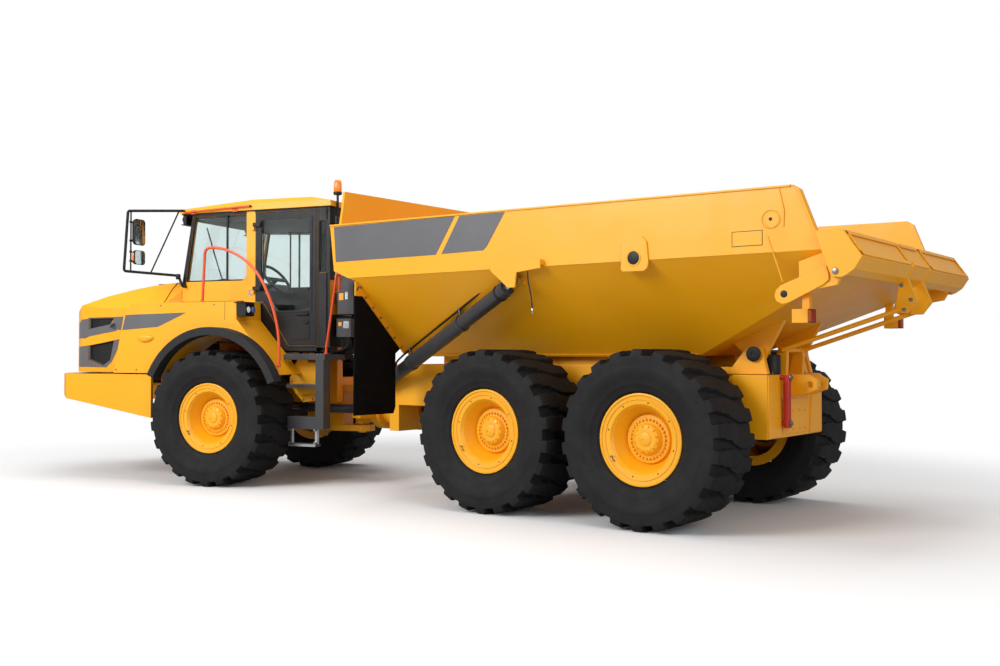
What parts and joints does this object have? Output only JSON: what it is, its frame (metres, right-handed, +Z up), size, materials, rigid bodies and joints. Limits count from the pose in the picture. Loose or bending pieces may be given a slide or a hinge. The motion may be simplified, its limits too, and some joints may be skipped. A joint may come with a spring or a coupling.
{
  "type": "articulated dump truck",
  "caption": "Articulated off-road dump truck with a steered front unit, tipping V-shaped body, overhanging tailgate and walking-beam rear axles",
  "frame": {"origin": "middle of the bounding box on the ground, at the parked pose", "axes": "+X rearward along the rear unit, +Y to the truck's right, +Z up"},
  "size_m": [10.5278, 3.6586, 3.5],
  "materials": {
    "yellow_paint": "satin paint",
    "dark_paint": "satin dark grey paint",
    "black_plastic": "fine grain",
    "rubber": "matt",
    "tyre_rubber": "matt",
    "clear_glass": "lightly tinted",
    "bright_steel": "polished rod",
    "orange_paint": "gloss paint",
    "orange_lens": "clear lens",
    "clear_lens": "clear lens in a dark shell",
    "red_lens": "clear lens",
    "red_paint": "gloss paint"
  },
  "bodies": {
    "rear_chassis": {"rear_frame": "yellow_paint", "rear_crossmember": "yellow_paint", "lock_bar": "red_paint", "bogie_beams": "dark_paint", "middle_axle": "dark_paint", "rear_axle": "dark_paint", "drive_shafts": "dark_paint"},
    "yoke": {"hitch_yoke": "yellow_paint"},
    "front_unit": {"front_frame": "yellow_paint", "engine_block": "dark_paint", "front_axle": "dark_paint", "bumper": "yellow_paint", "fenders": "yellow_paint", "flares": "rubber", "cab_body": "yellow_paint", "cab_roof": "yellow_paint", "cab_glass": "clear_glass", "driver_chair": "black_plastic", "console": "black_plastic", "access_steps": "dark_paint", "side_tank": "dark_paint", "handrails": "orange_paint", "mirror_frames": "black_plastic", "mirror_heads": "black_plastic", "air_cleaner": "dark_paint", "beacon": "orange_lens", "work_lamps": "clear_lens", "exhaust": "dark_paint", "intake_hose": "rubber"},
    "hood_lid": {"hood": "yellow_paint", "grille": "black_plastic", "nose_grille": "black_plastic"},
    "cab_door": {"door": "black_plastic", "door_glass": "clear_glass"},
    "dump_body": {"bed": "yellow_paint", "headboard": "yellow_paint", "flaps": "rubber", "tail_lamps": "red_lens"},
    "gate": {"tailgate": "yellow_paint"},
    "gate_link": {"gate_links": "dark_paint"},
    "wheel_front_left": {"tyre_front_left": "tyre_rubber", "rim_front_left": "yellow_paint"},
    "wheel_front_right": {"tyre_front_right": "tyre_rubber", "rim_front_right": "yellow_paint"},
    "wheel_middle_left": {"tyre_middle_left": "tyre_rubber", "rim_middle_left": "yellow_paint"},
    "wheel_middle_right": {"tyre_middle_right": "tyre_rubber", "rim_middle_right": "yellow_paint"},
    "wheel_rear_left": {"tyre_rear_left": "tyre_rubber", "rim_rear_left": "yellow_paint"},
    "wheel_rear_right": {"tyre_rear_right": "tyre_rubber", "rim_rear_right": "yellow_paint"},
    "hoist_barrel_left": {"hoist_barrel_left": "dark_paint"},
    "hoist_rod_left": {"hoist_rod_left": "bright_steel"},
    "steering_barrel_left": {"steering_barrel_left": "dark_paint"},
    "steering_rod_left": {"steering_rod_left": "bright_steel"},
    "hoist_barrel_right": {"hoist_barrel_right": "dark_paint"},
    "hoist_rod_right": {"hoist_rod_right": "bright_steel"},
    "steering_barrel_right": {"steering_barrel_right": "dark_paint"},
    "steering_rod_right": {"steering_rod_right": "bright_steel"}
  },
  "joints": [
    {"name": "hitch_roll", "type": "hinge", "parent": "rear_chassis", "child": "yoke", "pos_m": [-1.30514, 0.31532, 0.85], "axis": [1, 0, 0], "range_deg": [-15, 15]},
    {"name": "steering", "type": "hinge", "parent": "yoke", "child": "front_unit", "pos_m": [-1.30514, 0.31532, 0.85], "axis": [0, 0, 1], "range_deg": [-60.5, 29.5]},
    {"name": "spin_front_left", "type": "hinge", "parent": "front_unit", "child": "wheel_front_left", "pos_m": [-2.17503, -1.07574, 0.77], "axis": [-0.2672, 0.9636, 0], "continuous": true},
    {"name": "spin_front_right", "type": "hinge", "parent": "front_unit", "child": "wheel_front_right", "pos_m": [-2.76723, 1.05966, 0.77], "axis": [-0.2672, 0.9636, 0], "continuous": true},
    {"name": "spin_middle_left", "type": "hinge", "parent": "rear_chassis", "child": "wheel_middle_left", "pos_m": [1.65986, -0.79268, 0.77], "axis": [0, 1, 0], "continuous": true},
    {"name": "spin_middle_right", "type": "hinge", "parent": "rear_chassis", "child": "wheel_middle_right", "pos_m": [1.65986, 1.42332, 0.77], "axis": [0, 1, 0], "continuous": true},
    {"name": "spin_rear_left", "type": "hinge", "parent": "rear_chassis", "child": "wheel_rear_left", "pos_m": [3.32986, -0.79268, 0.77], "axis": [0, 1, 0], "continuous": true},
    {"name": "spin_rear_right", "type": "hinge", "parent": "rear_chassis", "child": "wheel_rear_right", "pos_m": [3.32986, 1.42332, 0.77], "axis": [0, 1, 0], "continuous": true},
    {"name": "bed_tip", "type": "hinge", "parent": "rear_chassis", "child": "dump_body", "pos_m": [3.97786, 0.31532, 1.496], "axis": [0, 1, 0], "range_deg": [0, 70]},
    {"name": "gate_swing", "type": "hinge", "parent": "dump_body", "child": "gate", "pos_m": [5.05486, 0.31532, 2.11], "axis": [0, 1, 0], "range_deg": [0, 20.27]},
    {"name": "gate_link_swing", "type": "hinge", "parent": "rear_chassis", "child": "gate_link", "pos_m": [4.11486, 0.31532, 1.53], "axis": [0, 1, 0], "range_deg": [0, 76.57]},
    {"name": "hoist_swing_left", "type": "hinge", "parent": "rear_chassis", "child": "hoist_barrel_left", "pos_m": [-0.30514, -0.28468, 1.2], "axis": [-0.4731, -0.5904, 0.6539], "range_deg": [0, 10.47]},
    {"name": "hoist_slide_left", "type": "slide", "parent": "hoist_barrel_left", "child": "hoist_rod_left", "axis": [0.881, -0.3093, 0.3581], "range_m": [0, 2.235]},
    {"name": "steer_swing_left", "type": "hinge", "parent": "yoke", "child": "steering_barrel_left", "pos_m": [-0.95514, -0.10468, 0.86], "axis": [0, 0, 1], "range_deg": [-43.27, 21.1]},
    {"name": "steer_slide_left", "type": "slide", "parent": "steering_barrel_left", "child": "steering_rod_left", "axis": [-0.9895, -0.1445, 0], "range_m": [-0.203, 0.415]},
    {"name": "hoist_swing_right", "type": "hinge", "parent": "rear_chassis", "child": "hoist_barrel_right", "pos_m": [-0.30514, 0.91532, 1.2], "axis": [0.4731, -0.5904, -0.6539], "range_deg": [0, 10.47]},
    {"name": "hoist_slide_right", "type": "slide", "parent": "hoist_barrel_right", "child": "hoist_rod_right", "axis": [0.881, 0.3093, 0.3581], "range_m": [0, 2.235]},
    {"name": "steer_swing_right", "type": "hinge", "parent": "yoke", "child": "steering_barrel_right", "pos_m": [-0.95514, 0.73532, 0.86], "axis": [0, 0, 1], "range_deg": [-43.27, 21.1]},
    {"name": "steer_slide_right", "type": "slide", "parent": "steering_barrel_right", "child": "steering_rod_right", "axis": [-0.9707, -0.2404, 0], "range_m": [-0.415, 0.203]},
    {"name": "door_swing", "type": "hinge", "parent": "front_unit", "child": "cab_door", "pos_m": [-2.05306, -0.74097, 2], "axis": [0, 0, -1], "range_deg": [0, 33]},
    {"name": "hood_tilt", "type": "hinge", "parent": "front_unit", "child": "hood_lid", "pos_m": [-5.03439, -0.71889, 1.33], "axis": [0.2672, -0.9636, 0], "range_deg": [0, 60]}
  ],
  "couplings": [
    {"joint": "gate_swing", "follows": "bed_tip", "ratio": 0.28946},
    {"joint": "gate_link_swing", "follows": "bed_tip", "ratio": 1.0937},
    {"joint": "hoist_swing_left", "follows": "bed_tip", "ratio": 0.14945},
    {"joint": "hoist_slide_left", "follows": "bed_tip", "m_per_rad": 1.8283},
    {"joint": "steer_swing_left", "follows": "steering", "ratio": 0.715},
    {"joint": "steer_slide_left", "follows": "steering", "m_per_rad": -0.39248},
    {"joint": "hoist_swing_right", "follows": "bed_tip", "ratio": 0.14945},
    {"joint": "hoist_slide_right", "follows": "bed_tip", "m_per_rad": 1.8283},
    {"joint": "steer_swing_right", "follows": "steering", "ratio": 0.715},
    {"joint": "steer_slide_right", "follows": "steering", "m_per_rad": 0.39248}
  ]
}
